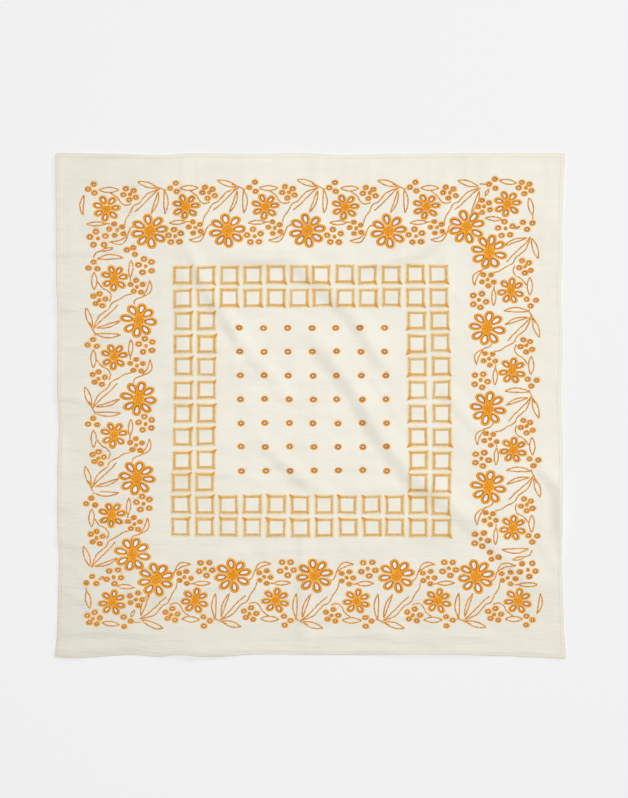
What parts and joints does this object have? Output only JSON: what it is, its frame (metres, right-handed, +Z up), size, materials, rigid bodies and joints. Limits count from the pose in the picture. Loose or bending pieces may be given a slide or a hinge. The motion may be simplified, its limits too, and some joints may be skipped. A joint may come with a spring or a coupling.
{
  "type": "bandana",
  "caption": "Square cotton neckerchief laid flat in soft creases, with a border of cut eyelet flowers.",
  "frame": {"origin": "on the surface that the cloth lies on, under the middle of its outline", "axes": "+X towards the right hem, +Y towards the top hem, +Z up from the surface"},
  "size_m": [0.5458, 0.5409, 0.0064],
  "materials": {
    "cloth": "matt fine cotton gauze",
    "thread": "soft sheen embroidery thread"
  },
  "bodies": {
    "root": {"cloth": "cloth"}
  },
  "joints": []
}
